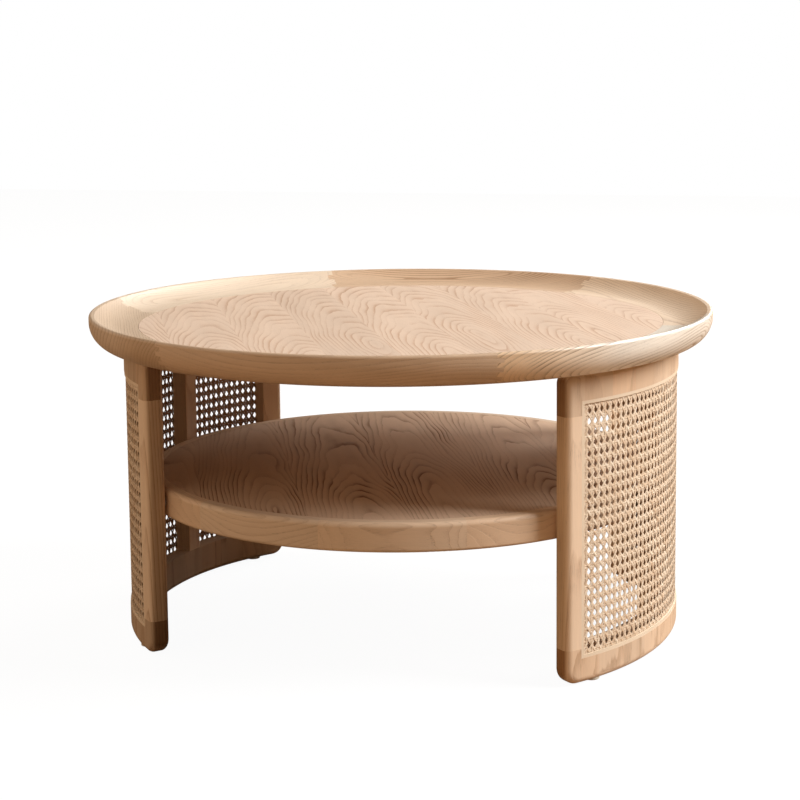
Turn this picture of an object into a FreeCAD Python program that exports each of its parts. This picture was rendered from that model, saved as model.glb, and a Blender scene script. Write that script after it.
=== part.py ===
"""Round ash coffee table with a tray top, a lower shelf and two curved cane-panelled legs.

Millimetres. The origin is on the floor at the centre of the table, +Z is up, and the legs are
centred on +X (right) and -X (left). Each physical piece is written to its own STEP file.
"""
import FreeCAD, Part
import math
import os

from FreeCAD import Vector

# ---- driving dimensions ----------------------------------------------------------------------
TABLE_RADIUS = 400.0
TABLE_HEIGHT = 410.0

# tray top: ring of segments round a flat board
RING_UNDERSIDE = 371.0
RING_BORE = 318.0             # radius of the hole seen from below
PANEL_SEAT = 338.0            # radius of the rebate that holds the board
PANEL_SEAT_Z = 377.0
TRAY_FLOOR = 392.0
COVE_START = 350.0            # radius where the flat floor turns up into the cove
LIP_WIDTH = 7.0
LIP_ROUND = 3.5
HULL_RADIUS = 30.0            # outside of the ring, below its upright band
RING_SEGMENTS = 6
COMB_LAYERS = 7
COMB_REACH = 4.0              # fingers reach this far past the joint, each way
SEAM = 0.4                    # gap round the board

# lower shelf
SHELF_RADIUS = 329.0
SHELF_BOTTOM = 171.0
SHELF_TOP = 206.0
EDGING_WIDTH = 16.0
EDGING_PIECES = 12
EDGING_TURN = -3.0            # degrees by which the edging joints are turned from +X
EDGING_TOP_ROUND = 6.0
EDGING_BOTTOM_ROUND = 4.0
TONGUE_REACH = 5.0
TONGUE_LOW = 195.0
TONGUE_HIGH = 201.0

# legs: each is a curved frame of two rails and four stiles
LEG_INNER = 332.0
LEG_OUTER = 357.5
LEG_HALF_ANGLE = 44.0
LEG_FOOT = 1.5                # underside of the wood, held off the floor by the glides
LOWER_JOINT = 44.0            # top of the bottom rail
UPPER_JOINT = 320.0           # underside of the top rail
END_STILE_ANGLE = 5.5
MID_STILE_ANGLE = 4.4
MID_STILE_AT = 13.8
RECESS_DEPTH = 4.0            # rebate round the outside that takes the cane
RECESS_MARGIN = 22.0          # wood left at each end beside the cane
RECESS_LOW = 32.0
RECESS_HIGH = 337.5
FOOT_CORNER = 18.0
HEAD_CORNER = 14.0
ARRIS = 8.5
BAY_ARRIS = 1.5

# cane and its beading
CANE_THICKNESS = 1.6
BEADING_WIDTH = 4.0
BEADING_THICKNESS = 1.9
FIT_GAP = 0.1                 # clearance round glued-in pieces

# dowels and fastenings
DOWEL_RADIUS = 4.0
DOWEL_LENGTH = 40.0
TOP_DOWEL_LENGTH = 30.0
TOP_DOWEL_ANGLES = (-36.0, 36.0)
HOLE_GAP = 0.05               # radial clearance of a dowel or a threaded fit
BOLT_ANGLES = (-27.2, -9.0, 9.0, 27.2)
BOLT_RADIUS = 3.0
BOLT_HOLE_RADIUS = 3.3
BOLT_HEAD_RADIUS = 5.0
BOLT_HEAD_HEIGHT = 6.0
BOLT_SOCKET_RADIUS = 2.9      # corners of the hexagon socket
BOLT_SOCKET_DEPTH = 3.5
BOLT_LENGTH = 58.0
WASHER_RADIUS = 6.0
WASHER_THICKNESS = 1.6
COUNTERBORE_RADIUS = 6.5
COUNTERBORE_DEPTH = 9.0
INSERT_RADIUS = 5.0
INSERT_LENGTH = 16.0
STILE_INSERT_LENGTH = 13.0
CONNECTOR_Z = 188.5
CONNECTOR_ANGLES = (-41.2, -MID_STILE_AT, MID_STILE_AT, 41.2)
CONNECTOR_SHANK_RADIUS = 3.5
CONNECTOR_NECK_RADIUS = 2.2
CONNECTOR_BALL_RADIUS = 3.2
CONNECTOR_COLLAR_RADIUS = 6.0
CAM_SETBACK = 34.0            # cam centre to the shelf's edge
CAM_RADIUS = 7.5
CAM_HEIGHT = 24.0
CAM_SLOT_WIDTH = 1.6
CAM_SLOT_LENGTH = 8.0
CAM_SLOT_DEPTH = 1.5
GLIDE_RADIUS = 10.0
GLIDE_LET_IN = 1.5
GLIDE_PIN_RADIUS = 2.0
GLIDE_PIN_LENGTH = 14.0
GLIDE_ANGLES = (-36.0, 0.0, 36.0)

# ---- dimensions worked out from those --------------------------------------------------------
LEG_MIDDLE = (LEG_INNER + LEG_OUTER) / 2
RECESS_RADIUS = LEG_OUTER - RECESS_DEPTH
RECESS_HALF_ANGLE = LEG_HALF_ANGLE - math.degrees(RECESS_MARGIN / LEG_OUTER)
END_STILE_START = LEG_HALF_ANGLE - END_STILE_ANGLE
SHELF_BOARD_RADIUS = SHELF_RADIUS - EDGING_WIDTH
LEG_SIDES = {"right": 0.0, "left": 180.0}
Z_AXIS = Vector(0, 0, 1)
ORIGIN = Vector(0, 0, 0)


# ---- helpers ---------------------------------------------------------------------------------
def polar(radius, angle, z=0.0):
    """Point at a radius and an angle in degrees about the table's axis."""
    turn = math.radians(angle)
    return Vector(radius * math.cos(turn), radius * math.sin(turn), z)


def turned(shape, angle):
    """Copy of a shape turned about the table's axis."""
    copy = shape.copy()
    copy.rotate(ORIGIN, Z_AXIS, angle)
    return copy


def section_face(edges):
    """Flat face in the XZ plane from edges that close."""
    return Part.Face(Part.Wire(Part.__sortEdges__(edges)))


def section_point(radius, z):
    return Vector(radius, 0, z)


def line(start, end):
    return Part.LineSegment(section_point(*start), section_point(*end)).toShape()


def arc(start, middle, end):
    points = [section_point(*point) for point in (start, middle, end)]
    return Part.Arc(*points).toShape()


def on_circle(centre, radius, angle):
    """Point (radius, z) on a circle drawn in the section plane."""
    turn = math.radians(angle)
    return (centre[0] + radius * math.cos(turn), centre[1] + radius * math.sin(turn))


def swept(face, start_angle, end_angle):
    """Section face turned about the table's axis between two angles."""
    return turned(face.revolve(ORIGIN, Z_AXIS, end_angle - start_angle), start_angle)


def sector(inner, outer, start_angle, end_angle, low, high):
    """Part of a ring with a rectangular section."""
    corners = [(inner, low), (outer, low), (outer, high), (inner, high)]
    edges = [line(corners[i], corners[(i + 1) % 4]) for i in range(4)]
    return swept(section_face(edges), start_angle, end_angle)


def upright_rod(radius, low, high, at_radius, angle):
    return Part.makeCylinder(radius, high - low, polar(at_radius, angle, low))


def radial_rod(radius, inner, outer, angle, z):
    """Cylinder whose axis runs outward from the table's axis."""
    return Part.makeCylinder(radius, outer - inner, polar(inner, angle, z), polar(1, angle))


def only_solid(shape):
    """The one solid that a boolean leaves."""
    solids = shape.Solids
    if len(solids) != 1:
        raise ValueError("expected one solid, got %d" % len(solids))
    return solids[0]


def export(name, solids):
    solids = solids if isinstance(solids, list) else [solids]
    for solid in solids:
        if not solid.isValid():
            raise ValueError("%s is not a valid solid" % name)
    shape = solids[0] if len(solids) == 1 else Part.makeCompound(solids)
    shape.exportStep("parts/%s.step" % name)


# ---- tray top --------------------------------------------------------------------------------
def ring_section():
    """Section of the tray's ring: ledge for the board, cove, rounded lip and hull-shaped outside."""
    lip_inner = TABLE_RADIUS - LIP_WIDTH
    lip_round_centre = (TABLE_RADIUS - LIP_ROUND, TABLE_HEIGHT - LIP_ROUND)
    cove_end = (lip_inner, TABLE_HEIGHT - 0.8)
    run = cove_end[0] - COVE_START
    rise = cove_end[1] - TRAY_FLOOR
    cove_radius = (run * run + rise * rise) / (2 * rise)
    cove_centre = (COVE_START, TRAY_FLOOR + cove_radius)
    half_turn = math.degrees(math.asin(run / cove_radius)) / 2
    cove_middle = on_circle(cove_centre, cove_radius, half_turn - 90)
    lip_start = (lip_round_centre[0], TABLE_HEIGHT)
    lip_middle = on_circle(lip_round_centre, LIP_ROUND, 45)
    lip_end = (TABLE_RADIUS, lip_round_centre[1])
    hull_top = (TABLE_RADIUS, RING_UNDERSIDE + HULL_RADIUS)
    hull_centre = (TABLE_RADIUS - HULL_RADIUS, hull_top[1])
    hull_middle = on_circle(hull_centre, HULL_RADIUS, -45)
    hull_bottom = (hull_centre[0], RING_UNDERSIDE)
    return section_face([
        line((RING_BORE, RING_UNDERSIDE), (RING_BORE, PANEL_SEAT_Z)),
        line((RING_BORE, PANEL_SEAT_Z), (PANEL_SEAT, PANEL_SEAT_Z)),
        line((PANEL_SEAT, PANEL_SEAT_Z), (PANEL_SEAT, TRAY_FLOOR)),
        line((PANEL_SEAT, TRAY_FLOOR), (COVE_START, TRAY_FLOOR)),
        arc((COVE_START, TRAY_FLOOR), cove_middle, cove_end),
        line(cove_end, lip_start),
        arc(lip_start, lip_middle, lip_end),
        line(lip_end, hull_top),
        arc(hull_top, hull_middle, hull_bottom),
        line(hull_bottom, (RING_BORE, RING_UNDERSIDE)),
    ])


def comb_wedge(start_angle, end_angle):
    """Stack of flat wedges whose ends step back and forth: the fingers of the comb joints."""
    near, far = RING_BORE * 0.8, TABLE_RADIUS * 1.2
    layer = (TABLE_HEIGHT - RING_UNDERSIDE) / COMB_LAYERS
    wedges = []
    for index in range(COMB_LAYERS):
        reach = COMB_REACH if index % 2 else -COMB_REACH
        z = RING_UNDERSIDE + index * layer
        first_shift = polar(reach, start_angle + 90)
        last_shift = polar(reach, end_angle + 90)
        corners = [
            polar(near, start_angle, z) + first_shift,
            polar(far, start_angle, z) + first_shift,
            polar(far * 1.2, (start_angle + end_angle) / 2, z),
            polar(far, end_angle, z) + last_shift,
            polar(near, end_angle, z) + last_shift,
        ]
        wire = Part.makePolygon(corners + corners[:1])
        wedges.append(Part.Face(wire).extrude(Vector(0, 0, layer)))
    return wedges[0].fuse(wedges[1:]).removeSplitter()


def leg_angles(angles):
    """Angles given about a leg's centre, for both legs."""
    return [side + angle for side in LEG_SIDES.values() for angle in angles]


def top_holes():
    """Holes in the ring's underside for the threaded inserts and the locating dowels."""
    inserts = [
        upright_rod(INSERT_RADIUS + HOLE_GAP, RING_UNDERSIDE, RING_UNDERSIDE + INSERT_LENGTH + 1, LEG_MIDDLE, angle)
        for angle in leg_angles(BOLT_ANGLES)
    ]
    dowel_top = RING_UNDERSIDE + TOP_DOWEL_LENGTH / 2 + 1
    dowels = [
        upright_rod(DOWEL_RADIUS + HOLE_GAP, RING_UNDERSIDE, dowel_top, LEG_MIDDLE, angle)
        for angle in leg_angles(TOP_DOWEL_ANGLES)
    ]
    return inserts + dowels


def make_top():
    ring = swept(ring_section(), 0, 360).cut(top_holes())
    step = 360.0 / RING_SEGMENTS
    for index in range(RING_SEGMENTS):
        wedge = comb_wedge(index * step, (index + 1) * step)
        export("top_ring_segment_%d" % (index + 1), only_solid(ring.common(wedge)))
    radius = PANEL_SEAT - SEAM
    thickness = TRAY_FLOOR - PANEL_SEAT_Z
    export("top_panel", Part.makeCylinder(radius, thickness, Vector(0, 0, PANEL_SEAT_Z)))


# ---- shelf -----------------------------------------------------------------------------------
def edging_section():
    """Section of the shelf's edging: rounded outside, tongue inside."""
    inner, outer = SHELF_BOARD_RADIUS + HOLE_GAP, SHELF_RADIUS
    top_centre = (outer - EDGING_TOP_ROUND, SHELF_TOP - EDGING_TOP_ROUND)
    bottom_centre = (outer - EDGING_BOTTOM_ROUND, SHELF_BOTTOM + EDGING_BOTTOM_ROUND)
    top_start = (top_centre[0], SHELF_TOP)
    top_end = (outer, top_centre[1])
    bottom_start = (outer, bottom_centre[1])
    bottom_end = (bottom_centre[0], SHELF_BOTTOM)
    tongue_tip = inner - TONGUE_REACH
    outline = [(inner, SHELF_BOTTOM), (inner, TONGUE_LOW), (tongue_tip, TONGUE_LOW),
               (tongue_tip, TONGUE_HIGH), (inner, TONGUE_HIGH), (inner, SHELF_TOP), top_start]
    edges = [line(start, end) for start, end in zip(outline, outline[1:])]
    edges.append(arc(top_start, on_circle(top_centre, EDGING_TOP_ROUND, 45), top_end))
    edges.append(line(top_end, bottom_start))
    edges.append(arc(bottom_start, on_circle(bottom_centre, EDGING_BOTTOM_ROUND, -45), bottom_end))
    edges.append(line(bottom_end, (inner, SHELF_BOTTOM)))
    return section_face(edges)


def cam_radius_from_axis():
    return SHELF_RADIUS - CAM_SETBACK


def shelf_holes():
    """Cross holes for the connector bolts and blind holes from below for their cams."""
    holes = []
    for angle in leg_angles(CONNECTOR_ANGLES):
        centre = cam_radius_from_axis()
        holes.append(radial_rod(CONNECTOR_SHANK_RADIUS + 0.5, centre, SHELF_RADIUS + 1, angle, CONNECTOR_Z))
        holes.append(upright_rod(CAM_RADIUS + FIT_GAP, SHELF_BOTTOM - 1, SHELF_BOTTOM + CAM_HEIGHT + 1, centre, angle))
    return holes


def make_shelf():
    holes = shelf_holes()
    height = SHELF_TOP - SHELF_BOTTOM
    board = Part.makeCylinder(SHELF_BOARD_RADIUS, height, Vector(0, 0, SHELF_BOTTOM))
    groove_depth = TONGUE_REACH + 0.5
    groove = sector(SHELF_BOARD_RADIUS - groove_depth, SHELF_BOARD_RADIUS + 1, 0, 360,
                    TONGUE_LOW - HOLE_GAP, TONGUE_HIGH + HOLE_GAP)
    export("shelf_panel", only_solid(board.cut([groove] + holes)))
    step = 360.0 / EDGING_PIECES
    for index in range(EDGING_PIECES):
        start = EDGING_TURN + index * step
        piece = swept(edging_section(), start, start + step)
        export("shelf_edging_%d" % (index + 1), only_solid(piece.cut(holes)))


# ---- legs ------------------------------------------------------------------------------------
def edge_radii(edge):
    """Distances of an edge's two ends from the table's axis."""
    return [math.hypot(vertex.X, vertex.Y) for vertex in edge.Vertexes]


def leg_blank():
    """Curved slab with rounded corners and eased arrises, all but the arrises under the top."""
    blank = sector(LEG_INNER, LEG_OUTER, -LEG_HALF_ANGLE, LEG_HALF_ANGLE, LEG_FOOT, RING_UNDERSIDE)
    for z, radius in ((LEG_FOOT, FOOT_CORNER), (RING_UNDERSIDE, HEAD_CORNER)):
        corners = [
            edge for edge in blank.Edges
            if all(abs(vertex.Z - z) < 0.01 for vertex in edge.Vertexes)
            and abs(edge.Length - (LEG_OUTER - LEG_INNER)) < 0.01
        ]
        blank = blank.makeFillet(radius, corners)
    arrises = []
    for edge in blank.Edges:
        radii = edge_radii(edge)
        on_a_face = any(all(abs(r - face) < 0.01 for r in radii) for face in (LEG_INNER, LEG_OUTER))
        under_top = all(abs(vertex.Z - RING_UNDERSIDE) < 0.01 for vertex in edge.Vertexes)
        if on_a_face and not under_top:
            arrises.append(edge)
    return blank.makeFillet(ARRIS, arrises)


def bay_spans():
    """Start and end angles of the three openings in a leg."""
    half_mid = MID_STILE_ANGLE / 2
    return [
        (-END_STILE_START, -MID_STILE_AT - half_mid),
        (-MID_STILE_AT + half_mid, MID_STILE_AT - half_mid),
        (MID_STILE_AT + half_mid, END_STILE_START),
    ]


def leg_frame():
    """The whole frame of the right leg in one piece, before it is divided at its joints."""
    frame = leg_blank()
    bays = [
        sector(LEG_INNER - 1, LEG_OUTER + 1, start, end, LOWER_JOINT, UPPER_JOINT)
        for start, end in bay_spans()
    ]
    recess = sector(RECESS_RADIUS, LEG_OUTER + 1, -RECESS_HALF_ANGLE, RECESS_HALF_ANGLE, RECESS_LOW, RECESS_HIGH)
    return frame.cut(bays + [recess])


def eased_stile(stile):
    """Stile with the long arrises that face the middle of the table eased."""
    arrises = []
    for edge in stile.Edges:
        upright = abs(edge.Length - (UPPER_JOINT - LOWER_JOINT)) < 0.01
        if upright and all(abs(r - LEG_INNER) < 0.01 for r in edge_radii(edge)):
            arrises.append(edge)
    return stile.makeFillet(BAY_ARRIS, arrises)


def dowel_places():
    """Radius and angle of each upright dowel that joins a stile to the rails."""
    end_middle = LEG_HALF_ANGLE - END_STILE_ANGLE / 2
    places = []
    for side in (-1, 1):
        places.append((LEG_MIDDLE - 2, side * (end_middle - 1.1)))
        places.append((LEG_MIDDLE - 2, side * (end_middle + 0.9)))
        places.append(((LEG_INNER + RECESS_RADIUS) / 2, side * MID_STILE_AT))
    return places


def leg_dowel_rods(radius, length):
    """Upright rods centred on the joints between stiles and rails."""
    return [
        upright_rod(radius, joint - length / 2, joint + length / 2, at_radius, angle)
        for joint in (LOWER_JOINT, UPPER_JOINT)
        for at_radius, angle in dowel_places()
    ]


def top_rail_holes():
    """Bolt holes with counterbores, and holes for the locating dowels."""
    holes = []
    for angle in BOLT_ANGLES:
        holes.append(upright_rod(BOLT_HOLE_RADIUS, UPPER_JOINT - 1, RING_UNDERSIDE + 1, LEG_MIDDLE, angle))
        holes.append(upright_rod(COUNTERBORE_RADIUS, UPPER_JOINT - 1, UPPER_JOINT + COUNTERBORE_DEPTH,
                                 LEG_MIDDLE, angle))
    for angle in TOP_DOWEL_ANGLES:
        low = RING_UNDERSIDE - TOP_DOWEL_LENGTH / 2 - 1
        holes.append(upright_rod(DOWEL_RADIUS + HOLE_GAP, low, RING_UNDERSIDE + 1, LEG_MIDDLE, angle))
    return holes


def stile_insert_holes():
    return [
        radial_rod(INSERT_RADIUS + HOLE_GAP, LEG_INNER - 2, LEG_INNER + STILE_INSERT_LENGTH + 0.5, angle, CONNECTOR_Z)
        for angle in CONNECTOR_ANGLES
    ]


def glide_holes():
    holes = []
    for angle in GLIDE_ANGLES:
        seat_top = LEG_FOOT + GLIDE_LET_IN
        holes.append(upright_rod(GLIDE_RADIUS + FIT_GAP, LEG_FOOT - 1, seat_top, LEG_MIDDLE, angle))
        holes.append(upright_rod(GLIDE_PIN_RADIUS + HOLE_GAP, LEG_FOOT - 1, seat_top + GLIDE_PIN_LENGTH + 1,
                                 LEG_MIDDLE, angle))
    return holes


def cane_and_beading():
    """Thin curved sheet in the recess, and the four strips that cover its edges."""
    inner = RECESS_RADIUS + FIT_GAP
    outer = inner + CANE_THICKNESS
    half = RECESS_HALF_ANGLE - math.degrees(FIT_GAP / LEG_OUTER)
    low, high = RECESS_LOW + FIT_GAP, RECESS_HIGH - FIT_GAP
    sheet = sector(inner, outer, -half, half, low, high)
    strip_inner = outer + FIT_GAP
    strip_outer = strip_inner + BEADING_THICKNESS
    strip_angle = math.degrees(BEADING_WIDTH / LEG_OUTER)
    side_low, side_high = low + BEADING_WIDTH + FIT_GAP, high - BEADING_WIDTH - FIT_GAP
    strips = [
        sector(strip_inner, strip_outer, -half, half, low, low + BEADING_WIDTH),
        sector(strip_inner, strip_outer, -half, half, high - BEADING_WIDTH, high),
        sector(strip_inner, strip_outer, -half, -half + strip_angle, side_low, side_high),
        sector(strip_inner, strip_outer, half - strip_angle, half, side_low, side_high),
    ]
    return sheet, strips


def make_leg_pieces():
    """Every wooden and cane piece of the right leg, by name."""
    frame = leg_frame()
    dowel_holes = leg_dowel_rods(DOWEL_RADIUS + HOLE_GAP, DOWEL_LENGTH + 2)
    spare = 20.0
    whole = (LEG_INNER - spare, LEG_OUTER + spare, -LEG_HALF_ANGLE - 5, LEG_HALF_ANGLE + 5)
    pieces = {}
    top_slab = sector(*whole, UPPER_JOINT, RING_UNDERSIDE + spare)
    pieces["top_rail"] = only_solid(frame.common(top_slab).cut(dowel_holes + top_rail_holes()))
    bottom_slab = sector(*whole, LEG_FOOT - spare, LOWER_JOINT)
    pieces["bottom_rail"] = only_solid(frame.common(bottom_slab).cut(dowel_holes + glide_holes()))
    stiles = frame.common(sector(*whole, LOWER_JOINT, UPPER_JOINT)).Solids
    stiles.sort(key=lambda solid: solid.CenterOfMass.y)
    names = ("front_stile", "front_mid_stile", "back_mid_stile", "back_stile")
    for name, stile in zip(names, stiles):
        pieces[name] = only_solid(eased_stile(stile).cut(dowel_holes + stile_insert_holes()))
    pieces["cane_panel"], pieces["cane_beading"] = cane_and_beading()
    pieces["leg_dowels"] = leg_dowel_rods(DOWEL_RADIUS, DOWEL_LENGTH)
    return pieces


def make_legs():
    swap = {"front": "back", "back": "front"}
    for name, shape in make_leg_pieces().items():
        for side, angle in LEG_SIDES.items():
            solids = shape if isinstance(shape, list) else [shape]
            first = name.split("_")[0]
            # half a turn takes a front stile to the back, so the left leg's names swap
            placed_name = name.replace(first, swap[first], 1) if side == "left" and first in swap else name
            export("%s_%s" % (side, placed_name), [turned(solid, angle) for solid in solids])


# ---- fastenings ------------------------------------------------------------------------------
def bolt(angle):
    """Socket-head bolt, head down, in its counterbore in the top rail."""
    seat = UPPER_JOINT + COUNTERBORE_DEPTH - WASHER_THICKNESS
    head = upright_rod(BOLT_HEAD_RADIUS, seat - BOLT_HEAD_HEIGHT, seat, LEG_MIDDLE, angle)
    shank = upright_rod(BOLT_RADIUS, seat, seat + BOLT_LENGTH, LEG_MIDDLE, angle)
    centre = polar(LEG_MIDDLE, angle, seat - BOLT_HEAD_HEIGHT)
    corners = [centre + polar(BOLT_SOCKET_RADIUS, angle + 60 * side) for side in range(7)]
    socket = Part.Face(Part.makePolygon(corners)).extrude(Vector(0, 0, BOLT_SOCKET_DEPTH))
    return only_solid(head.fuse(shank).cut(socket))


def washer(angle):
    top = UPPER_JOINT + COUNTERBORE_DEPTH
    disc = upright_rod(WASHER_RADIUS, top - WASHER_THICKNESS, top, LEG_MIDDLE, angle)
    return disc.cut(upright_rod(BOLT_HOLE_RADIUS, top - WASHER_THICKNESS - 1, top + 1, LEG_MIDDLE, angle))


def top_insert(angle):
    low, high = RING_UNDERSIDE, RING_UNDERSIDE + INSERT_LENGTH
    body = upright_rod(INSERT_RADIUS, low, high, LEG_MIDDLE, angle)
    return body.cut(upright_rod(BOLT_RADIUS + HOLE_GAP, low - 1, high + 1, LEG_MIDDLE, angle))


def stile_insert(angle):
    outer = LEG_INNER + STILE_INSERT_LENGTH
    body = radial_rod(INSERT_RADIUS, LEG_INNER + 0.2, outer, angle, CONNECTOR_Z)
    return body.cut(radial_rod(BOLT_RADIUS + HOLE_GAP, LEG_INNER - 1, outer + 1, angle, CONNECTOR_Z))


def connector_bolt(angle):
    """Bolt from a stile's insert to a cam: thread, collar, shank, neck and ball."""
    centre = cam_radius_from_axis()
    ball_centre = centre + CONNECTOR_BALL_RADIUS
    shank_start = centre + CAM_RADIUS + 1
    pieces = [
        radial_rod(BOLT_RADIUS, LEG_INNER, LEG_INNER + STILE_INSERT_LENGTH - 1, angle, CONNECTOR_Z),
        radial_rod(CONNECTOR_COLLAR_RADIUS, SHELF_RADIUS + FIT_GAP, LEG_INNER - FIT_GAP, angle, CONNECTOR_Z),
        radial_rod(CONNECTOR_SHANK_RADIUS, shank_start, SHELF_RADIUS + FIT_GAP, angle, CONNECTOR_Z),
        radial_rod(CONNECTOR_NECK_RADIUS, ball_centre, LEG_INNER + 1, angle, CONNECTOR_Z),
        Part.makeSphere(CONNECTOR_BALL_RADIUS, polar(ball_centre, angle, CONNECTOR_Z)),
    ]
    return only_solid(pieces[0].fuse(pieces[1:]).removeSplitter())


def cam(angle):
    """Round cam let into the shelf's underside, with a cross slot and a hollow for the bolt's ball."""
    centre = cam_radius_from_axis()
    low = SHELF_BOTTOM + 0.5
    body = upright_rod(CAM_RADIUS, low, low + CAM_HEIGHT, centre, angle)
    reach = CONNECTOR_BALL_RADIUS + 0.3
    hollow = radial_rod(reach, centre - 0.5, centre + CAM_RADIUS + 1, angle, CONNECTOR_Z)
    slots = []
    for turn in (0, 90):
        slot = Part.makeBox(CAM_SLOT_LENGTH, CAM_SLOT_WIDTH, CAM_SLOT_DEPTH + 1,
                            Vector(-CAM_SLOT_LENGTH / 2, -CAM_SLOT_WIDTH / 2, 0))
        slot = turned(slot, angle + turn)
        slot.translate(polar(centre, angle, low - 1))
        slots.append(slot)
    return only_solid(body.cut([hollow] + slots))


def glide(angle):
    seat_top = LEG_FOOT + GLIDE_LET_IN
    disc = upright_rod(GLIDE_RADIUS, 0, seat_top, LEG_MIDDLE, angle)
    rim = [edge for edge in disc.Edges if abs(edge.Length - 2 * math.pi * GLIDE_RADIUS) < 0.01
           and edge.Vertexes[0].Z < 0.01]
    disc = disc.makeFillet(0.8, rim)
    pin = upright_rod(GLIDE_PIN_RADIUS, seat_top, seat_top + GLIDE_PIN_LENGTH, LEG_MIDDLE, angle)
    return only_solid(disc.fuse(pin))


def make_fastenings():
    bolt_angles = leg_angles(BOLT_ANGLES)
    connector_angles = leg_angles(CONNECTOR_ANGLES)
    export("leg_bolts", [bolt(angle) for angle in bolt_angles])
    export("leg_bolt_washers", [washer(angle) for angle in bolt_angles])
    export("top_inserts", [top_insert(angle) for angle in bolt_angles])
    low = RING_UNDERSIDE - TOP_DOWEL_LENGTH / 2
    export("top_dowels", [
        upright_rod(DOWEL_RADIUS, low, low + TOP_DOWEL_LENGTH, LEG_MIDDLE, angle)
        for angle in leg_angles(TOP_DOWEL_ANGLES)
    ])
    export("shelf_connector_bolts", [connector_bolt(angle) for angle in connector_angles])
    export("shelf_cams", [cam(angle) for angle in connector_angles])
    export("stile_inserts", [stile_insert(angle) for angle in connector_angles])
    export("floor_glides", [glide(angle) for angle in leg_angles(GLIDE_ANGLES)])


os.makedirs("parts", exist_ok=True)
make_top()
make_shelf()
make_legs()
make_fastenings()
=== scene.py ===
"""Looks of the round ash and cane coffee table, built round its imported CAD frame. Metres."""
import math
import random
from collections import namedtuple

import bpy
import numpy as np
from mathutils import Euler, Matrix, Vector


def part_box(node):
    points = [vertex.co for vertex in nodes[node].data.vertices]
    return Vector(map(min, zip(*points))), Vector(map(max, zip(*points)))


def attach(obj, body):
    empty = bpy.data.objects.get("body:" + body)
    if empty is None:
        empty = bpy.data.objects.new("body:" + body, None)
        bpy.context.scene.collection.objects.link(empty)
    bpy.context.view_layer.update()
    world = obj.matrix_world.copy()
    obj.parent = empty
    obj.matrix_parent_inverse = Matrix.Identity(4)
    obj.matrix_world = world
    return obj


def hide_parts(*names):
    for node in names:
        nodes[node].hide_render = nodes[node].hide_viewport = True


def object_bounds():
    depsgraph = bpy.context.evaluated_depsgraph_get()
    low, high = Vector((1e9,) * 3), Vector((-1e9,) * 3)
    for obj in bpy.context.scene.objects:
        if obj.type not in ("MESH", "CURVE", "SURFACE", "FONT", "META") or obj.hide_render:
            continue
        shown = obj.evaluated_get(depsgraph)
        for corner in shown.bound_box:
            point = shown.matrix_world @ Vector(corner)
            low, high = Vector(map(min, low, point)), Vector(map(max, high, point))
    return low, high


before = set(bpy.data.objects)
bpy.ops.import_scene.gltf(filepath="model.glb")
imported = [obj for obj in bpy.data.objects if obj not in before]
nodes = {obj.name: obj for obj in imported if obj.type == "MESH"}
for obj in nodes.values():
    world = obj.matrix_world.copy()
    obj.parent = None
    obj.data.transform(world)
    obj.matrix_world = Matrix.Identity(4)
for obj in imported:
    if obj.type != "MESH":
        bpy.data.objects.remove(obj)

cad_low, cad_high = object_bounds()
MM = 0.001
WHITE = (1.0, 1.0, 1.0, 1.0)
SIDES = ("right", "left")


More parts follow.
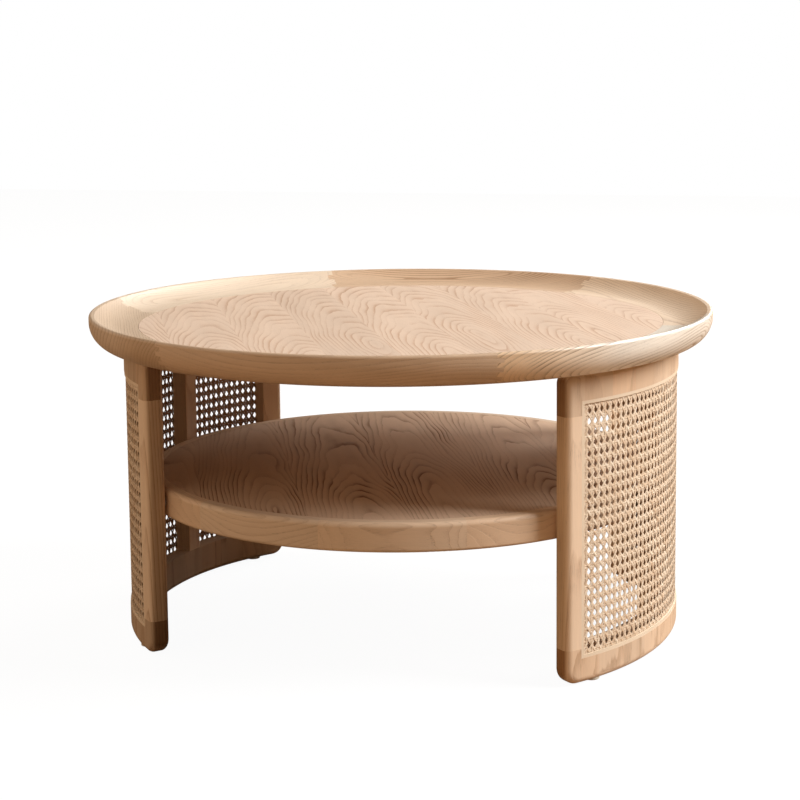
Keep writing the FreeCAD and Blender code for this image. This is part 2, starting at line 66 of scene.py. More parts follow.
# ---- shader helpers --------------------------------------------------------------------------
class Graph:
    """Makes shader nodes in one call each; values may be numbers, tuples or sockets."""

    def __init__(self, tree):
        self.tree = tree

    def add(self, kind, inputs=None, **settings):
        node = self.tree.nodes.new(kind)
        for name, value in settings.items():
            setattr(node, name, value)
        for key, value in (inputs or {}).items():
            self.feed(node.inputs[key], value)
        return node

    def feed(self, socket, value):
        if isinstance(value, bpy.types.NodeSocket):
            self.tree.links.new(value, socket)
        else:
            socket.default_value = value

    def math(self, operation, first, second=0.0, clamp=False):
        node = self.add("ShaderNodeMath", {0: first, 1: second}, operation=operation, use_clamp=clamp)
        return node.outputs[0]

    def times(self, first, second, clamp=False):
        return self.math("MULTIPLY", first, second, clamp)

    def plus(self, first, second):
        return self.math("ADD", first, second)

    def vector(self, operation, first, second=(0.0, 0.0, 0.0)):
        node = self.add("ShaderNodeVectorMath", {0: first, 1: second}, operation=operation)
        return node.outputs["Value" if operation == "DOT_PRODUCT" else "Vector"]

    def split(self, vector):
        return self.add("ShaderNodeSeparateXYZ", {0: vector}).outputs

    def join(self, x, y, z):
        return self.add("ShaderNodeCombineXYZ", {0: x, 1: y, 2: z}).outputs[0]

    def grey(self, value):
        return self.join(value, value, value)

    def place(self):
        """Object coordinates of the shaded point, which are the frame's own metres."""
        return self.add("ShaderNodeTexCoord").outputs["Object"]

    def luck(self, seed):
        """Three random numbers from 0 to 1 that change with the seed."""
        chance = self.add("ShaderNodeTexWhiteNoise", {"W": seed}, noise_dimensions="1D")
        return self.split(chance.outputs["Color"])

    def noise(self, point, stretch, detail=2.0, roughness=0.5, colour=False):
        """Noise whose features are 1/stretch metres long on each axis."""
        scaled = self.vector("MULTIPLY", point, stretch)
        node = self.add("ShaderNodeTexNoise", {"Vector": scaled, "Scale": 1.0, "Detail": detail,
                                               "Roughness": roughness})
        return node.outputs["Color" if colour else "Fac"]

    def ramp(self, factor, stops):
        node = self.add("ShaderNodeValToRGB", {0: factor})
        ramp = node.color_ramp
        while len(ramp.elements) < len(stops):
            ramp.elements.new(0.5)
        for element, (position, value) in zip(ramp.elements, stops):
            element.position = position
            element.color = value if isinstance(value, tuple) else (value, value, value, 1.0)
        return node.outputs[0]

    def mix(self, factor, first, second, blend="MIX"):
        node = self.add("ShaderNodeMix", data_type="RGBA", blend_type=blend)
        for socket, value in ((node.inputs[0], factor), (node.inputs[6], first), (node.inputs[7], second)):
            self.feed(socket, value)
        return node.outputs[2]

    def shaded(self, colour, shade):
        """Colour multiplied by another colour."""
        return self.mix(1.0, colour, shade, "MULTIPLY")

    def spread(self, factor, low, high):
        """Number from low to high as the factor goes from 0 to 1."""
        node = self.add("ShaderNodeMapRange", {0: factor, 3: low, 4: high})
        return node.outputs[0]


def linear(red, green, blue):
    """Display colour, 0 to 255 a channel, as a linear colour with alpha."""
    def decode(value):
        value /= 255
        return value / 12.92 if value <= 0.04045 else ((value + 0.055) / 1.055) ** 2.4
    return (decode(red), decode(green), decode(blue), 1.0)


def new_group(name, inputs, outputs):
    group = bpy.data.node_groups.new(name, "ShaderNodeTree")
    for label, kind, value in inputs:
        socket = group.interface.new_socket(label, in_out="INPUT", socket_type=kind)
        if value is not None:
            socket.default_value = value
    for label, kind in outputs:
        group.interface.new_socket(label, in_out="OUTPUT", socket_type=kind)
    graph = Graph(group)
    return group, graph, graph.add("NodeGroupInput").outputs, graph.add("NodeGroupOutput").inputs


def new_material(name):
    material = bpy.data.materials.new(name)
    material.use_nodes = True
    material.node_tree.nodes.clear()
    return material, Graph(material.node_tree)


def finish_material(graph, colour, roughness, height, bump_depth, coat=0.0, specular=0.35, metallic=0.0):
    shader = graph.add("ShaderNodeBsdfPrincipled", {
        "Base Color": colour, "Roughness": roughness, "Metallic": metallic, "IOR": 1.5,
        "Specular IOR Level": specular, "Coat Weight": coat, "Coat Roughness": 0.32})
    bump = graph.add("ShaderNodeBump", {"Height": height, "Distance": bump_depth, "Strength": 1.0})
    graph.feed(shader.inputs["Normal"], bump.outputs[0])
    output = graph.add("ShaderNodeOutputMaterial")
    graph.feed(output.inputs["Surface"], shader.outputs[0])


def dress(node, material):
    mesh = nodes[node].data
    mesh.materials.clear()
    mesh.materials.append(material)


# ---- ash ---------------------------------------------------------------------------------------
PALE = linear(229, 204, 177)
DARK = linear(178, 136, 98)
# how dark one year's growth is, from the ring's first open pores to its dense late wood
RING_PROFILE = [(0.0, 0.0), (0.05, 1.0), (0.16, 0.82), (0.34, 0.3), (0.62, 0.06), (1.0, 0.0)]


def along_grain(lengthwise, crosswise):
    """Noise stretch for features that run along the grain, which is the X axis."""
    return (lengthwise, crosswise, crosswise)


def make_ash_group():
    """Solid ash cut from a log: growth rings round a wandering pith that runs along the point's X axis.

    A ring starts with a dark band of open pores and fades to pale dense wood, so any cut through it
    shows cathedral figure, straight grain or end grain as the cut's direction has it.
    """
    group, graph, given, result = new_group("ash", [
        ("Point", "NodeSocketVector", None), ("Ring gap", "NodeSocketFloat", 0.005),
        ("Wander", "NodeSocketFloat", 0.01), ("Line", "NodeSocketFloat", 0.6),
        ("Pale", "NodeSocketColor", PALE), ("Dark", "NodeSocketColor", DARK)],
        [("Color", "NodeSocketColor"), ("Height", "NodeSocketFloat"), ("Early", "NodeSocketFloat")])
    point = given["Point"]

    # distance from a pith that bends in long sweeps and short shivers
    _, across, deep = graph.split(point)
    sweeps, shivers = (along_grain(2.6, 9.0), 0.45, 2.4), (along_grain(9.0, 34.0), 0.5, 0.5)
    for stretch, roughness, share in (sweeps, shivers):
        bend = graph.noise(point, stretch, 2.0, roughness, colour=True)
        sway = graph.split(graph.vector("SUBTRACT", bend, (0.5, 0.5, 0.5)))
        reach = graph.times(given["Wander"], share)
        across = graph.plus(across, graph.times(sway[0], reach))
        deep = graph.plus(deep, graph.times(sway[1], reach))
    squares = graph.plus(graph.times(across, across), graph.times(deep, deep))
    radius = graph.math("SQRT", squares)

    # rings of uneven width with ragged edges
    ragged = graph.times(graph.noise(point, along_grain(22.0, 130.0), 3.0, 0.6), 0.9 * MM)
    years = graph.math("DIVIDE", graph.plus(radius, ragged), given["Ring gap"])
    climate = graph.join(graph.times(years, 0.31), 3.7, 1.3)
    seasons = graph.noise(climate, (1.0, 1.0, 1.0), 1.0)
    phase = graph.math("FRACT", graph.plus(years, graph.times(seasons, 1.6)))
    early = graph.ramp(phase, RING_PROFILE)
    patchy = graph.ramp(graph.noise(point, along_grain(4.5, 30.0)), [(0.36, 0.06), (0.64, 1.0)])
    line = graph.times(graph.times(early, given["Line"]), graph.times(patchy, 1.4), clamp=True)

    # streaks, fibres and open pores
    streak = graph.noise(point, along_grain(2.0, 46.0), 3.0, 0.55)
    fibre = graph.noise(point, along_grain(26.0, 820.0), 2.0, 0.6)
    specks = graph.noise(point, along_grain(75.0, 1900.0), 1.0)
    pores = graph.times(graph.ramp(specks, [(0.0, 0.0), (0.56, 0.0), (0.66, 1.0)]), early)
    shade = graph.times(graph.spread(streak, 0.88, 1.12), graph.spread(fibre, 0.93, 1.07))
    shade = graph.math("SUBTRACT", shade, graph.times(pores, 0.25))
    wood = graph.mix(line, given["Pale"], given["Dark"])
    low = graph.plus(graph.times(early, -0.45), graph.times(pores, -0.55))
    graph.feed(result["Color"], graph.shaded(wood, graph.grey(shade)))
    graph.feed(result["Height"], graph.plus(low, graph.times(fibre, 0.25)))
    graph.feed(result["Early"], early)
    return group


ASH = make_ash_group()


def ash_nodes(graph, point, gap, wander, line, pale, dark):
    node = graph.add("ShaderNodeGroup", node_tree=ASH)
    for key, value in (("Point", point), ("Ring gap", gap), ("Wander", wander), ("Line", line),
                       ("Pale", pale), ("Dark", dark)):
        graph.feed(node.inputs[key], value)
    return node.outputs


def board_point(graph, place, heading, tilt=0.0):
    """Object coordinates seen in a board's own frame: X along its grain, origin on its pith."""
    turn = Euler((0.0, tilt, heading), "XYZ")
    mapping = graph.add("ShaderNodeMapping", {"Vector": graph.place(), "Location": tuple(place),
                                              "Rotation": tuple(turn)}, vector_type="TEXTURE")
    return mapping.outputs[0]


def tinted(colour, warm=1.0, light=1.0):
    """Colour made lighter or darker, and warmer above 1 or cooler below."""
    return (colour[0] * light, colour[1] * light / warm ** 0.5, colour[2] * light / warm, 1.0)


def shade_painted_on_ends(graph, colour, shade):
    """Colour multiplied by a painted shade on faces that look along the leg's curve: the end faces, which
    lie in shade.
    """
    at = graph.split(graph.place())
    tangent = graph.vector("NORMALIZE", graph.join(graph.times(at[1], -1.0), at[0], 0.0))
    normal = graph.add("ShaderNodeNewGeometry").outputs["Normal"]
    end_on = graph.math("ABSOLUTE", graph.vector("DOT_PRODUCT", tangent, normal))
    return graph.mix(graph.ramp(end_on, [(0.7, 0.0), (0.95, 1.0)]), colour, graph.shaded(colour, shade))


# pale wood deepens to the shade from start to full metres along the grain, towards side 1 or -1
DeepEnd = namedtuple("DeepEnd", "side start full shade")


def solid_ash(name, place, heading, gap, line, warm, light, tilt=0.0, wander=0.006, dark=1.0, coat=0.0,
              painted_end_shade=None, deep_end=None):
    """Lacquered solid ash with its grain along a heading about Z and a tilt from level."""
    material, graph = new_material(name)
    point = board_point(graph, place, heading, tilt)
    pale = tinted(PALE, warm, light)
    # deep_end darkens the pale wood towards one end; on ring segment 6 this is painted shade
    if deep_end:
        towards_end = graph.times(graph.split(point)[0], deep_end.side)
        share = graph.ramp(towards_end, [(deep_end.start, 0.0), (deep_end.full, 1.0)])
        pale = graph.mix(share, pale, graph.shaded(pale, deep_end.shade))
    wood = ash_nodes(graph, point, gap, wander, line, pale, tinted(DARK, warm, light * dark))
    # painted shade on the stile's end faces
    colour = shade_painted_on_ends(graph, wood["Color"], painted_end_shade) if painted_end_shade else wood["Color"]
    roughness = graph.spread(wood["Early"], 0.38, 0.52)
    finish_material(graph, colour, roughness, wood["Height"], 0.16 * MM, coat=coat, specular=0.5)
    return material


def veneer(name, heading, leaf, depth, slope, gap, wander, line, pale, dark, offset, faint=1.0):
    """Crown-cut veneer: slip-matched leaves, each with its own nested cathedral figure.

    A leaf is cut depth metres off the pith, which falls away by the slope along it.
    The rings' lines come and go over the sheet, between the full line and the faint share of it.
    """
    material, graph = new_material(name)
    mapping = graph.add("ShaderNodeMapping", {"Vector": graph.place(), "Location": offset,
                                              "Rotation": (0.0, 0.0, heading)}, vector_type="TEXTURE")
    sheet = mapping.outputs[0]
    at = graph.split(sheet)
    leaves = graph.math("DIVIDE", at[1], leaf)
    index = graph.math("FLOOR", leaves)
    inside = graph.math("SUBTRACT", graph.math("SUBTRACT", leaves, index), 0.5)
    luck = graph.luck(index)
    along = graph.plus(at[0], graph.spread(luck[0], -0.12, 0.12))
    across = graph.plus(graph.times(inside, leaf), graph.spread(luck[0], -0.03, 0.03))
    turned_over = graph.math("GREATER_THAN", luck[1], 0.7)
    facing = graph.math("SUBTRACT", graph.times(turned_over, 2.0), 1.0)
    fall = graph.times(graph.times(along, slope), facing)
    deep = graph.plus(fall, graph.spread(luck[2], depth * 0.6, depth * 1.6))
    growth = graph.noise(sheet, along_grain(4.0, 11.0), 1.0)
    strength = graph.ramp(growth, [(0.42, line * faint), (0.58, line)])
    wood = ash_nodes(graph, graph.join(along, across, deep), gap, wander, strength, pale, dark)
    colour = graph.shaded(wood["Color"], graph.grey(graph.spread(luck[2], 0.965, 1.03)))
    finish_material(graph, colour, graph.spread(wood["Early"], 0.5, 0.62), wood["Height"], 0.06 * MM,
                    specular=0.25)
    return material


# ---- the top's board and ring ------------------------------------------------------------------
# bearing in degrees of the figure's centre, ring gap, and the pith's radius from the table's axis,
# height above the floor and tilt in radians; light, warm, dark and line as solid_ash takes them
RingLook = namedtuple("RingLook", "bearing light warm dark gap line radius height tilt")
# each segment's light and warm are partly its own tone and partly painted light: segment 6's near-white is
# a painted highlight, segment 1 is painted lighter against the shade on its inner wall, and segment 5's
# darker, warmer tone is partly painted shade
RING_LOOKS = [
    RingLook(28, 1.16, 0.95, 0.76, 0.0036, 0.40, 0.310, 0.330, 0.02),
    RingLook(98, 0.92, 1.18, 0.84, 0.0040, 0.60, 0.372, 0.402, 0.02),
    RingLook(150, 1.04, 0.90, 0.98, 0.0040, 0.35, 0.360, 0.372, 0.02),
    RingLook(205, 0.84, 1.04, 0.80, 0.0032, 0.32, 0.300, 0.385, 0.02),
    RingLook(262, 0.86, 1.14, 0.88, 0.0052, 0.22, 0.330, 0.290, 0.02),
    RingLook(334, 1.10, 0.72, 0.70, 0.0040, 0.75, 0.402, 0.354, -0.13),
]
# segment 6 deepens towards its end at bearing 300 as painted shade, where the ring turns away from the key
# light; segment 4 darkens towards its end at the front joint
DEEP_ENDS = {      # by the segment's number
    4: DeepEnd(side=1, start=0.14, full=0.19, shade=(0.84, 0.78, 0.70, 1.0)),
    6: DeepEnd(side=-1, start=0.07, full=0.20, shade=(0.96, 0.76, 0.57, 1.0)),
}
LACQUER = 0.35      # weight of the clear coat on the ring
QUARTER_TURN = math.pi / 2


def dress_top():
    board = veneer("top_veneer", heading=math.radians(-65), leaf=0.084, depth=0.026, slope=0.13,
                   gap=0.0054, wander=0.012, line=0.55, pale=linear(224, 199, 177),
                   dark=linear(186, 146, 115), offset=(0.02, 0.03, 0.0))
    dress("top_panel", board)
    for number, look in enumerate(RING_LOOKS, 1):
        bearing = math.radians(look.bearing)
        place = Vector((math.cos(bearing) * look.radius, math.sin(bearing) * look.radius, look.height))
        name = "top_ring_segment_%d" % number
        dress(name, solid_ash(name + "_ash", place, bearing + QUARTER_TURN, look.gap, look.line,
                              look.warm, look.light, tilt=look.tilt, wander=0.005, dark=look.dark,
                              coat=LACQUER, deep_end=DEEP_ENDS.get(number)))


# ---- the shelf -----------------------------------------------------------------------------------
EDGING_PIECES = 12


def outward_from_axis(node):
    """Middle of a node, and the level direction to it from the table's axis."""
    low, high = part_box(node)
    centre = (low + high) / 2
    return centre, Vector((centre.x, centre.y, 0.0)).normalized()


def dress_shelf():
    # the shelf's veneer is darker than the top's as painted shade, for its place under the tray
    board = veneer("shelf_veneer", heading=math.radians(-68), leaf=0.118, depth=0.034, slope=0.06,
                   gap=0.0050, wander=0.014, line=0.85, pale=linear(205, 176, 150),
                   dark=linear(120, 82, 55), offset=(-0.05, 0.04, 0.0), faint=0.25)
    dress("shelf_panel", board)
    chance = random.Random(7)
    for number in range(1, EDGING_PIECES + 1):
        name = "shelf_edging_%d" % number
        centre, outward = outward_from_axis(name)
        pith = centre - outward * chance.uniform(0.03, 0.08)
        pith.z += chance.uniform(-0.05, 0.05)
        heading = math.atan2(centre.y, centre.x) + QUARTER_TURN
        dress(name, solid_ash(name + "_ash", pith, heading, gap=0.0035, line=0.22,
                              warm=chance.uniform(0.98, 1.2), light=chance.uniform(0.88, 1.0), dark=0.9))


# ---- the legs' wood --------------------------------------------------------------------------------
STAVE_TURN = math.radians(7.4)       # bearing that one stave of a rail takes up
STILE_TILT = math.radians(-88)       # stiles' grain runs up, a little off plumb
RAIL_WARMTH = 1.08
# rails' lightness: on the right leg their own tone, on the left leg lower as painted shade; the end
# entries are painted shade on the end faces, stronger on the left leg
LegLook = namedtuple("LegLook", "rail_light rail_end stile_end")
LEG_LOOKS = {
    "right": LegLook(0.94, (0.46, 0.34, 0.22, 1.0), (0.78, 0.73, 0.64, 1.0)),
    "left": LegLook(0.74, (0.42, 0.33, 0.24, 1.0), (0.64, 0.59, 0.52, 1.0)),
}


def rail_ash(name, seed, light, painted_end_shade):
    """Curved rail coopered from upright staves, each with its own tone and grain."""
    material, graph = new_material(name)
    place = graph.place()
    at = graph.split(place)
    bearing = graph.plus(graph.math("ARCTAN2", at[1], at[0]), seed * 0.37)
    index = graph.math("FLOOR", graph.math("DIVIDE", bearing, STAVE_TURN))
    luck = graph.luck(graph.plus(index, seed * 5.1))
    jump = graph.join(graph.spread(luck[0], -0.08, 0.08), graph.spread(luck[1], -0.08, 0.08),
                      graph.spread(luck[2], -2.0, 2.0))
    moved = graph.split(graph.vector("ADD", place, jump))
    upright = graph.join(moved[2], moved[0], moved[1])
    wood = ash_nodes(graph, upright, gap=0.0042, wander=0.01, line=0.32,
                     pale=tinted(PALE, RAIL_WARMTH, light), dark=tinted(DARK, RAIL_WARMTH, light * 0.92))
    tone = graph.spread(luck[1], 0.93, 1.04)
    tint = graph.join(tone, graph.times(tone, graph.spread(luck[2], 0.95, 1.01)),
                      graph.times(tone, graph.spread(luck[2], 0.9, 1.02)))
    # painted shade on the rail's end faces
    colour = shade_painted_on_ends(graph, graph.shaded(wood["Color"], tint), painted_end_shade)
    finish_material(graph, colour, graph.spread(wood["Early"], 0.38, 0.52), wood["Height"], 0.15 * MM)
    return material


def dress_legs():
    chance = random.Random(19)
    for side in SIDES:
        look = LEG_LOOKS[side]
        for rail in ("top_rail", "bottom_rail"):
            name = "%s_%s" % (side, rail)
            dress(name, rail_ash(name + "_ash", chance.uniform(1, 9), look.rail_light, look.rail_end))
        for stile in ("front_stile", "front_mid_stile", "back_mid_stile", "back_stile"):
            name = "%s_%s" % (side, stile)
            centre, outward = outward_from_axis(name)
            pith = centre - outward * chance.uniform(0.05, 0.11)
            dress(name, solid_ash(name + "_ash", pith, math.atan2(centre.y, centre.x), gap=0.004,
                                  line=0.42, warm=chance.uniform(0.98, 1.1),
                                  light=chance.uniform(1.07, 1.13), tilt=STILE_TILT, wander=0.004,
                                  painted_end_shade=look.stile_end))


# ---- materials of small pieces -------------------------------------------------------------------
def reed_material():
    material, graph = new_material("reed")
    fibre = graph.noise(graph.place(), (400.0, 400.0, 400.0), 3.0)
    tone = graph.noise(graph.place(), (14.0, 14.0, 14.0))
    colour = graph.mix(graph.spread(tone, 0.2, 0.8), linear(246, 230, 208), linear(226, 200, 168))
    colour = graph.mix(0.12, colour, graph.grey(fibre), "MULTIPLY")
    finish_material(graph, colour, graph.spread(fibre, 0.4, 0.6), fibre, 0.1 * MM)
    return material


def metal_material(name, colour, roughness, scratch):
    material, graph = new_material(name)
    grain = graph.noise(graph.place(), scratch, 3.0)
    tone = graph.shaded(colour, graph.grey(graph.spread(grain, 0.85, 1.1)))
    finish_material(graph, tone, graph.spread(grain, roughness * 0.75, roughness * 1.3), grain,
                    0.04 * MM, metallic=1.0)
    return material


def nylon_material():
    material, graph = new_material("nylon")
    grain = graph.noise(graph.place(), (900.0, 900.0, 900.0))
    colour = graph.mix(grain, linear(214, 206, 190), linear(198, 188, 170))
    finish_material(graph, colour, graph.spread(grain, 0.45, 0.6), grain, 0.05 * MM)
    return material


def beech_material():
    material, graph = new_material("beech")
    upright = board_point(graph, (0.0, 0.0, 0.0), 0.0, tilt=QUARTER_TURN)
    fleck = graph.noise(upright, along_grain(90.0, 700.0))
    colour = graph.mix(fleck, linear(222, 186, 146), linear(196, 152, 108))
    finish_material(graph, colour, graph.spread(fleck, 0.5, 0.7), fleck, 0.1 * MM)
    return material


def dress_small_pieces():
    reed, beech = reed_material(), beech_material()
    steel = metal_material("zinc_plated_steel", linear(176, 178, 182), 0.3, (300.0, 300.0, 300.0))
    brass = metal_material("brass", linear(206, 172, 104), 0.3, (300.0, 300.0, 900.0))
    zinc = metal_material("cast_zinc", linear(168, 170, 172), 0.45, (500.0, 500.0, 500.0))
    for side in SIDES:
        dress(side + "_cane_beading", reed)
        dress(side + "_leg_dowels", beech)
    for name, material in (("top_dowels", beech), ("leg_bolts", steel), ("leg_bolt_washers", steel),
                           ("shelf_connector_bolts", steel), ("shelf_cams", zinc), ("top_inserts", brass),
                           ("stile_inserts", brass), ("floor_glides", nylon_material())):
        dress(name, material)


# ---- woven cane ------------------------------------------------------------------------------------
HOLE_TURN = math.radians(1.6)      # bearing from one column of holes to the next
ROW_PITCH = 12.7 * MM
PAIR_OFFSET = 1.25 * MM            # from a pair's middle to either strand's
STRAND_WIDTH = 2.25 * MM
DIAGONAL_WIDTH = 2.9 * MM
STRAND_THICKNESS = 0.4 * MM
# a strand's section as shares of its width and thickness: rounded peel outside, flat inside
SECTION = [(-0.5, 0.15), (-0.28, 0.5), (0.28, 0.5), (0.5, 0.15), (0.34, -0.5), (-0.34, -0.5)]
WEAVE_RISE = 0.2 * MM              # how far uprights and levels swing over and under
DIAGONAL_RISE = 0.45 * MM
STEPS_PER_PITCH = 4
EDGE_CLEARANCE = STRAND_WIDTH * 0.6    # least distance from a pair's strand to the edge beside it
SHORTEST_DIAGONAL = 0.3            # in column pitches; corner ends below it are left out
FACE_LIFT = 0.1 * MM               # strands' mid-line outside the panel's outer face
HELD_EDGE = 3.5 * MM               # strip that the beading holds down
EDGE_FADE = 7 * MM                 # strip beyond it where the weave comes up to its full rise
HELD_DROP = 0.6 * MM
HELD_RISE_SHARE = 0.3              # share of its swing that a strand keeps under the beading


class CaneSheet:
    """One leg's sheet of cane, laid out flat as (arc length, height) and bent round the leg."""

    def __init__(self, node, facing):
        low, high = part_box(node)
        self.facing = facing
        outer = max(abs(low.x), abs(high.x))
        self.radius = outer + FACE_LIFT
        self.column_pitch = self.radius * HOLE_TURN
        self.half_length = self.radius * math.asin(high.y / outer)
        self.bottom, self.top = low.z, high.z
        self.middle = (low.z + high.z) / 2

    def edge_share(self, s, z):
        """1 in the open sheet, falling to 0 at the edges that the beading holds down."""
        gap = np.minimum(self.half_length - np.abs(s), np.minimum(z - self.bottom, self.top - z))
        return np.clip((gap - HELD_EDGE) / EDGE_FADE, 0.0, 1.0)

    def bent(self, s, z, rise):
        share = self.edge_share(s, z)
        swing = HELD_RISE_SHARE + (1 - HELD_RISE_SHARE) * share
        radius = self.radius + rise * swing - (1 - share) * HELD_DROP
        angle = self.facing + s / self.radius
        return np.stack([radius * np.cos(angle), radius * np.sin(angle), z], axis=-1)


def strand(sheet, start, end, width, rise_at, tone):
    """Ribbon along a straight line on the flat sheet, rising and dipping as rise_at says."""
    start, end = np.array(start), np.array(end)
    length = np.linalg.norm(end - start)
    count = max(3, int(round(length / ROW_PITCH * STEPS_PER_PITCH)) + 1)
    share = np.linspace(0.0, 1.0, count)
    s = start[0] + (end[0] - start[0]) * share
    z = start[1] + (end[1] - start[1]) * share
    along = (end - start) / length
    side = np.array([-along[1], along[0]])
    rise = rise_at(s, z)
    rows = [sheet.bent(s + side[0] * width * u, z + side[1] * width * u, rise + v * STRAND_THICKNESS)
            for u, v in SECTION]
    points = np.stack(rows, axis=1)
    ring = len(SECTION)
    base = np.arange(count - 1)[:, None] * ring
    index = np.arange(ring)[None, :]
    following = (index + 1) % ring
    faces = np.stack([base + index, base + ring + index, base + ring + following, base + following],
                     axis=-1)
    travelled = np.repeat(share * length, ring)
    return points.reshape(-1, 3), faces.reshape(-1, 4), travelled, np.full(count * ring, tone)


def upright_strands(sheet, chance):
    """Pairs of upright strands half-way between the columns of holes."""
    count = int(sheet.half_length / sheet.column_pitch) + 1
    for column in range(-count, count):
        for side in (-1, 1):
            s = (column + 0.5) * sheet.column_pitch + side * PAIR_OFFSET
            if abs(s) > sheet.half_length - EDGE_CLEARANCE:
                continue
            over = side * (-1) ** column * WEAVE_RISE
            yield strand(sheet, (s, sheet.bottom), (s, sheet.top), STRAND_WIDTH,
                         lambda s, z, over=over: over * np.sin(math.pi * (z - sheet.middle) / ROW_PITCH),
                         chance.random())


def level_strands(sheet, chance):
    """Pairs of level strands half-way between the rows of holes."""
    count = int((sheet.top - sheet.bottom) / 2 / ROW_PITCH) + 1
    for row in range(-count, count):
        for side in (-1, 1):
            z = sheet.middle + (row + 0.5) * ROW_PITCH + side * PAIR_OFFSET
            if not sheet.bottom + EDGE_CLEARANCE < z < sheet.top - EDGE_CLEARANCE:
                continue
            over = -side * (-1) ** row * WEAVE_RISE
            yield strand(sheet, (-sheet.half_length, z), (sheet.half_length, z), STRAND_WIDTH,
                         lambda s, z, over=over: over * np.sin(math.pi * s / sheet.column_pitch),
                         chance.random())


def slanting_strands(sheet, chance, sign):
    """Diagonals that rise (sign 1) over the upright pairs, or fall (sign -1) over the level pairs.

    They cross half-way between neighbouring holes, and cut the corners that make each hole an octagon.
    """
    slope = sign * ROW_PITCH / sheet.column_pitch
    half_height = (sheet.top - sheet.bottom) / 2
    count = int((sheet.half_length * abs(slope) + half_height) / ROW_PITCH) + 2
    for line in range(-count, count):
        offset = (line + 0.5) * ROW_PITCH
        ends = sorted([(-half_height - offset) / slope, (half_height - offset) / slope])
        first, last = max(ends[0], -sheet.half_length), min(ends[1], sheet.half_length)
        if last - first < sheet.column_pitch * SHORTEST_DIAGONAL:
            continue
        yield strand(sheet, (first, sheet.middle + offset + slope * first),
                     (last, sheet.middle + offset + slope * last), DIAGONAL_WIDTH,
                     lambda s, z: -sign * DIAGONAL_RISE * np.cos(2 * math.pi * s / sheet.column_pitch),
                     chance.random())


def cane_material():
    """Glossy straw-coloured peel, fibrous along each strand; the side that faces in is duller, and
    darkened by painted shade.
    """
    material, graph = new_material("cane")
    travel = graph.add("ShaderNodeAttribute", attribute_name="travel").outputs["Fac"]
    tone = graph.add("ShaderNodeAttribute", attribute_name="tone").outputs["Fac"]
    place = graph.place()
    fibre = graph.noise(place, (900.0, 900.0, 900.0))
    on_strand = graph.join(graph.times(travel, 18.0), graph.times(tone, 91.0), 0.0)
    blotch = graph.noise(on_strand, (1.0, 1.0, 1.0), 3.0)
    colour = graph.mix(graph.spread(tone, 0.0, 0.8), linear(242, 224, 200), linear(220, 190, 158))
    colour = graph.mix(graph.ramp(blotch, [(0.5, 0.0), (0.75, 0.55)]), colour, linear(184, 142, 98))
    colour = graph.shaded(colour, graph.grey(graph.spread(fibre, 0.86, 1.08)))
    at = graph.split(place)
    inward = graph.vector("NORMALIZE", graph.join(graph.times(at[0], -1.0), graph.times(at[1], -1.0), 0.0))
    normal = graph.add("ShaderNodeNewGeometry").outputs["True Normal"]
    inside = graph.ramp(graph.vector("DOT_PRODUCT", inward, normal), [(0.0, 0.0), (0.5, 1.0)])
    # painted shade: the side facing the table's axis is darkened, as the legs' insides lie in shade; its
    # extra roughness is the strand's own
    colour = graph.mix(inside, colour, graph.shaded(colour, (0.56, 0.46, 0.38, 1.0)))
    roughness = graph.plus(graph.spread(fibre, 0.32, 0.5), graph.times(inside, 0.25))
    finish_material(graph, colour, roughness, fibre, 0.06 * MM)
    return material


def strands_piece(name, strands, material):
    """One mesh of many strands, with each point's travel along its strand and its strand's tone."""
    points = np.concatenate([part[0] for part in strands])
    starts = np.cumsum([0] + [len(part[0]) for part in strands[:-1]])
    faces = np.concatenate([part[1] + start for part, start in zip(strands, starts)])
    mesh = bpy.data.meshes.new(name)
    mesh.vertices.add(len(points))
    mesh.vertices.foreach_set("co", points.astype(np.float32).ravel())
    mesh.loops.add(faces.size)
    mesh.loops.foreach_set("vertex_index", faces.astype(np.int32).ravel())
    mesh.polygons.add(len(faces))
    mesh.polygons.foreach_set("loop_start", np.arange(0, faces.size, 4, dtype=np.int32))
    mesh.polygons.foreach_set("loop_total", np.full(len(faces), 4, dtype=np.int32))
    mesh.polygons.foreach_set("use_smooth", np.ones(len(faces), dtype=bool))
    mesh.update(calc_edges=True)
    for label, column in (("travel", 2), ("tone", 3)):
        values = np.concatenate([part[column] for part in strands]).astype(np.float32)
        mesh.attributes.new(label, "FLOAT", "POINT").data.foreach_set("value", values)
    mesh.materials.append(material)
    piece = bpy.data.objects.new(name, mesh)
    bpy.context.scene.collection.objects.link(piece)
    return piece


def weave_cane():
    material = cane_material()
    for side, facing, seed in (("right", 0.0, 3), ("left", math.pi, 4)):
        sheet = CaneSheet(side + "_cane_panel", facing)
        chance = random.Random(seed)
        layers = (("upright", upright_strands(sheet, chance)), ("level", level_strands(sheet, chance)),
                  ("rising", slanting_strands(sheet, chance, 1)),
                  ("falling", slanting_strands(sheet, chance, -1)))
        for layer, strands in layers:
            piece = strands_piece("%s_cane_%s_strands" % (side, layer), list(strands), material)
            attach(piece, "root")
            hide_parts(side + "_cane_panel")


# ---- stage ---------------------------------------------------------------------------------------
FLOOR_SIZE = 14.0
FLOOR_DROP = 0.5 * MM                # floor's top below the glides
FLOOR_GLOW = 0.955                   # with the little that it reflects, the floor reads as white
BRIGHT_SIDE = math.radians(207)      # bearing of the brighter side of the room
ROOM_STRENGTH = 2.1
ROOM_BY_FACING = [(0.0, 0.05), (0.3, 0.08), (0.6, 0.38), (1.0, 1.0)]
HORIZON_COLOUR = (0.54, 0.37, 0.235, 1.0)
MIDDLE_COLOUR = (0.38, 0.31, 0.24, 1.0)
ZENITH_COLOUR = (0.30, 0.28, 0.26, 1.0)


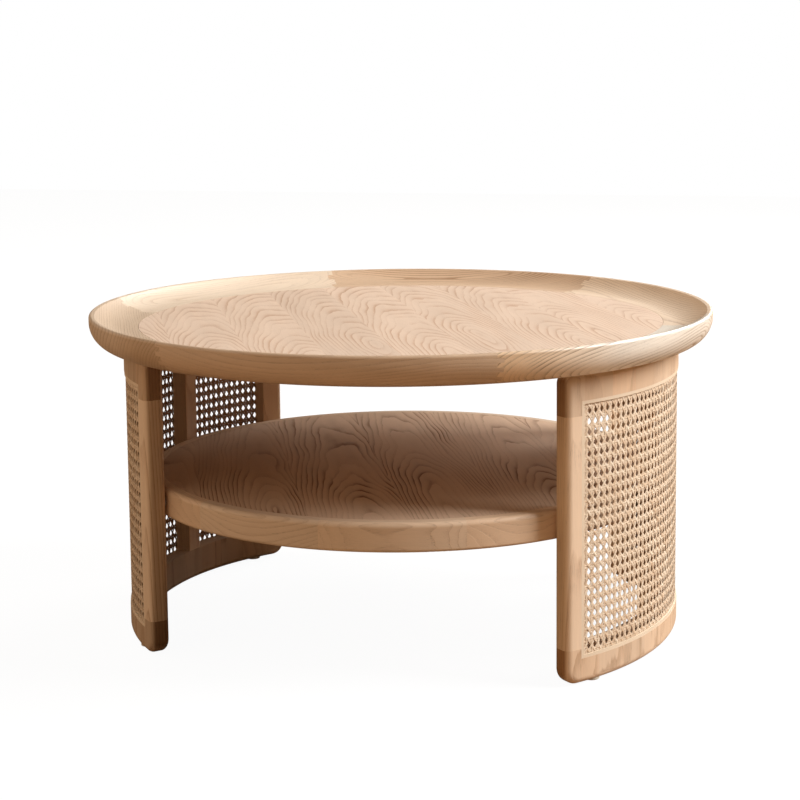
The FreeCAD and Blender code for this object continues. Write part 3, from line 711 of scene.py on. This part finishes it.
def make_floor():
    bpy.ops.mesh.primitive_plane_add(size=FLOOR_SIZE, location=(0.0, 0.0, cad_low.z - FLOOR_DROP))
    floor = bpy.context.object
    floor.name = "floor"
    material, graph = new_material("pale_floor")
    seen = graph.add("ShaderNodeLightPath").outputs["Is Camera Ray"]
    bright = graph.add("ShaderNodeEmission", {"Color": WHITE, "Strength": FLOOR_GLOW})
    soft = graph.add("ShaderNodeBsdfDiffuse", {"Color": (0.08, 0.08, 0.08, 1.0)})
    shown = graph.add("ShaderNodeAddShader", {0: bright.outputs[0], 1: soft.outputs[0]})
    bounced = graph.add("ShaderNodeBsdfDiffuse", {"Color": linear(150, 120, 92)})
    mixed = graph.add("ShaderNodeMixShader", {0: seen, 1: bounced.outputs[0], 2: shown.outputs[0]})
    output = graph.add("ShaderNodeOutputMaterial")
    graph.feed(output.inputs["Surface"], mixed.outputs[0])
    floor.data.materials.append(material)


def make_world():
    """Room that glows warm near the horizon and is brighter on one side; the camera sees it white."""
    world = bpy.data.worlds.new("studio")
    bpy.context.scene.world = world
    world.use_nodes = True
    world.node_tree.nodes.clear()
    graph = Graph(world.node_tree)
    seen = graph.add("ShaderNodeLightPath").outputs["Is Camera Ray"]
    direction = graph.add("ShaderNodeTexCoord").outputs["Generated"]
    glow = graph.ramp(graph.split(direction)[2],
                      [(0.15, HORIZON_COLOUR), (0.6, MIDDLE_COLOUR), (1.0, ZENITH_COLOUR)])
    towards = (math.cos(BRIGHT_SIDE), math.sin(BRIGHT_SIDE), 0.0)
    facing = graph.plus(graph.times(graph.vector("DOT_PRODUCT", direction, towards), 0.5), 0.5)
    share = graph.times(graph.ramp(facing, ROOM_BY_FACING), ROOM_STRENGTH)
    colour = graph.mix(seen, graph.shaded(glow, graph.grey(share)), WHITE)
    background = graph.add("ShaderNodeBackground", {"Color": colour})
    output = graph.add("ShaderNodeOutputWorld")
    graph.feed(output.inputs["Surface"], background.outputs[0])


def area_light(name, bearing, elevation, distance, size, power):
    """Soft square white light aimed at the table's middle; bearing about Z and elevation in degrees."""
    turn, rise = math.radians(bearing), math.radians(elevation)
    away = Vector((math.cos(turn) * math.cos(rise), math.sin(turn) * math.cos(rise), math.sin(rise)))
    data = bpy.data.lights.new(name, "AREA")
    data.size = size
    data.energy = power
    light = bpy.data.objects.new(name, data)
    bpy.context.scene.collection.objects.link(light)
    light.location = (cad_low + cad_high) / 2 + away * distance
    light.rotation_mode = "QUATERNION"
    light.rotation_quaternion = away.to_track_quat("Z", "Y")


def make_lights():
    area_light("key", bearing=8, elevation=34, distance=6.5, size=3.2, power=562)
    area_light("back", bearing=66, elevation=29, distance=5.0, size=2.0, power=128)


def make_camera():
    """Camera with a slight lens shift, as the view is from above but the legs stand nearly upright."""
    data = bpy.data.cameras.new("camera")
    data.sensor_width = 36.0
    data.lens = 81.8
    data.shift_y = -0.15
    data.clip_start = 0.05
    data.clip_end = 60.0
    camera = bpy.data.objects.new("camera", data)
    bpy.context.scene.collection.objects.link(camera)
    camera.location = (0.574, -2.267, 0.736)
    heading, down, roll = math.radians(14.22), math.radians(7.15), math.radians(-0.57)
    turn = Matrix.Rotation(heading, 3, "Z") @ Matrix.Rotation(QUARTER_TURN - down, 3, "X")
    camera.rotation_mode = "QUATERNION"
    camera.rotation_quaternion = (turn @ Matrix.Rotation(roll, 3, "Z")).to_quaternion()
    bpy.context.scene.camera = camera


bpy.context.scene.view_settings.view_transform = "Standard"
make_camera()
make_world()
make_lights()
make_floor()
dress_top()
dress_shelf()
dress_legs()
dress_small_pieces()
weave_cane()
